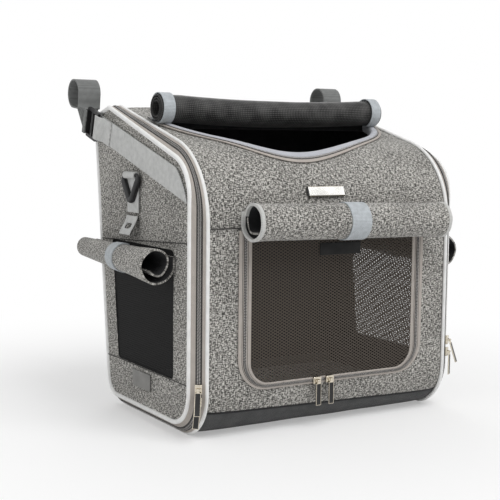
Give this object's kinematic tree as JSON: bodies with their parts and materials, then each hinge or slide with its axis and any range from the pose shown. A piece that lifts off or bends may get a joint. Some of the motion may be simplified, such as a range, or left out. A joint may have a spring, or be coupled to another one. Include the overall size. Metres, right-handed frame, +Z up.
{
  "type": "dog bicycle basket",
  "caption": "Soft-sided dog carrier that hangs in front of a handlebar, with a mesh door, side windows, rolled flaps, a head opening, zips, side straps and webbing loops.",
  "frame": {"origin": "centre of the bounding box's footprint, at the underside of the base", "axes": "+X to the viewer's right, -Y the front with the mesh door, +Z up"},
  "size_m": [0.4628, 0.3626, 0.4113],
  "materials": {
    "heather_fabric": "woven heather, matt",
    "flap_lining": "matt woven lining",
    "dark_base": "matt coated cloth",
    "white_piping": "satin",
    "zip_tape": "fine woven tape with a coil",
    "light_webbing": "ribbed webbing",
    "black_mesh": "open net",
    "grey_webbing": "ribbed webbing",
    "collar_cloth": "soft padded cloth",
    "black_board": "matt",
    "mat_fleece": "soft fleece",
    "black_plastic": "satin moulded",
    "plate_metal": "satin with a black rim",
    "slider_metal": "polished",
    "pull_metal": "polished edge with a black face"
  },
  "bodies": {
    "bag": {"front_panel": "heather_fabric", "top_cover": "heather_fabric", "base_trim": "flap_lining", "base_tray": "dark_base", "base_board": "black_board", "floor_mat": "mat_fleece", "rear_panel": "heather_fabric", "side_panel_left": "heather_fabric", "side_panel_right": "heather_fabric", "side_zip_left": "zip_tape", "side_zip_right": "zip_tape", "corner_piping_left": "white_piping", "corner_piping_right": "white_piping", "side_piping_left": "white_piping", "side_piping_right": "white_piping", "door_zip_outer": "zip_tape", "top_zip_tape": "zip_tape", "top_collar": "collar_cloth", "top_mesh_roll": "black_mesh", "top_roll_ties": "light_webbing", "front_flap_roll": "heather_fabric", "front_flap_binding": "light_webbing", "front_flap_tie": "light_webbing", "window_mesh_left": "black_mesh", "window_mesh_right": "black_mesh", "side_flap_left": "heather_fabric", "side_flap_right": "heather_fabric", "side_flap_ties": "light_webbing", "side_patches": "heather_fabric", "side_tabs": "light_webbing", "side_strap_left": "light_webbing", "side_strap_right": "light_webbing", "buckle_left": "black_plastic", "buckle_right": "black_plastic", "handlebar_strap_left": "grey_webbing", "handlebar_strap_right": "grey_webbing", "d_ring_tabs": "light_webbing", "name_plate": "plate_metal"},
    "door": {"door_mesh": "black_mesh", "door_zip_inner": "zip_tape", "door_patch": "flap_lining"},
    "d_ring_left": {"d_ring_left": "black_plastic"},
    "d_ring_right": {"d_ring_right": "black_plastic"},
    "door_slider_left": {"door_slider_left": "slider_metal"},
    "door_pull_left": {"door_pull_left": "pull_metal"},
    "door_slider_right": {"door_slider_right": "slider_metal"},
    "door_pull_right": {"door_pull_right": "pull_metal"},
    "upper_slider_left": {"upper_slider_left": "slider_metal"},
    "upper_pull_left": {"upper_pull_left": "pull_metal"},
    "upper_slider_right": {"upper_slider_right": "slider_metal"},
    "upper_pull_right": {"upper_pull_right": "pull_metal"},
    "lower_slider_left": {"lower_slider_left": "slider_metal"},
    "lower_pull_left": {"lower_pull_left": "pull_metal"},
    "lower_slider_right": {"lower_slider_right": "slider_metal"},
    "lower_pull_right": {"lower_pull_right": "pull_metal"}
  },
  "joints": [
    {"name": "door_hinge", "type": "hinge", "parent": "bag", "child": "door", "pos_m": [0, -0.1337, 0.2285], "axis": [-1, 0, 0], "range_deg": [0, 60]},
    {"name": "d_ring_left_hinge", "type": "hinge", "parent": "bag", "child": "d_ring_left", "pos_m": [-0.19035, 0.0215, 0.293], "axis": [0, 1, 0], "range_deg": [0, 110]},
    {"name": "d_ring_right_hinge", "type": "hinge", "parent": "bag", "child": "d_ring_right", "pos_m": [0.19035, 0.0215, 0.293], "axis": [0, -1, 0], "range_deg": [0, 110]},
    {"name": "door_slider_left_run", "type": "slide", "parent": "door", "child": "door_slider_left", "axis": [-1, 0, 0], "range_m": [0, 0.06]},
    {"name": "door_slider_right_run", "type": "slide", "parent": "door", "child": "door_slider_right", "axis": [1, 0, 0], "range_m": [0, 0.09]},
    {"name": "upper_slider_left_run", "type": "slide", "parent": "bag", "child": "upper_slider_left", "axis": [0, 0, 1], "range_m": [0, 0.12]},
    {"name": "upper_slider_right_run", "type": "slide", "parent": "bag", "child": "upper_slider_right", "axis": [0, 0, 1], "range_m": [0, 0.12]},
    {"name": "lower_slider_left_run", "type": "hinge", "parent": "bag", "child": "lower_slider_left", "pos_m": [-0.178, -0.078, 0.055], "axis": [1, 0, 0], "range_deg": [0, 30]},
    {"name": "lower_slider_right_run", "type": "slide", "parent": "bag", "child": "lower_slider_right", "axis": [0, 0, -1], "range_m": [0, 0.012]},
    {"name": "door_pull_left_hinge", "type": "hinge", "parent": "door_slider_left", "child": "door_pull_left", "pos_m": [-0.0255, -0.14035, 0.05775], "axis": [-1, 0, 0], "range_deg": [0, 140]},
    {"name": "door_pull_right_hinge", "type": "hinge", "parent": "door_slider_right", "child": "door_pull_right", "pos_m": [-0.0075, -0.14035, 0.05775], "axis": [-1, 0, 0], "range_deg": [0, 140]},
    {"name": "upper_pull_left_hinge", "type": "hinge", "parent": "upper_slider_left", "child": "upper_pull_left", "pos_m": [-0.18125, -0.13223, 0.062], "axis": [-0.824, 0.5665, 0], "range_deg": [0, 110]},
    {"name": "upper_pull_right_hinge", "type": "hinge", "parent": "upper_slider_right", "child": "upper_pull_right", "pos_m": [0.18125, -0.13223, 0.087], "axis": [-0.824, -0.5665, 0], "range_deg": [0, 110]},
    {"name": "lower_pull_left_hinge", "type": "hinge", "parent": "lower_slider_left", "child": "lower_pull_left", "pos_m": [-0.18125, -0.13166, 0.04714], "axis": [-0.824, 0.5605, 0.0821], "range_deg": [0, 20]},
    {"name": "lower_pull_right_hinge", "type": "hinge", "parent": "lower_slider_right", "child": "lower_pull_right", "pos_m": [0.18125, -0.13223, 0.072], "axis": [-0.824, -0.5665, 0], "range_deg": [0, 20]}
  ]
}
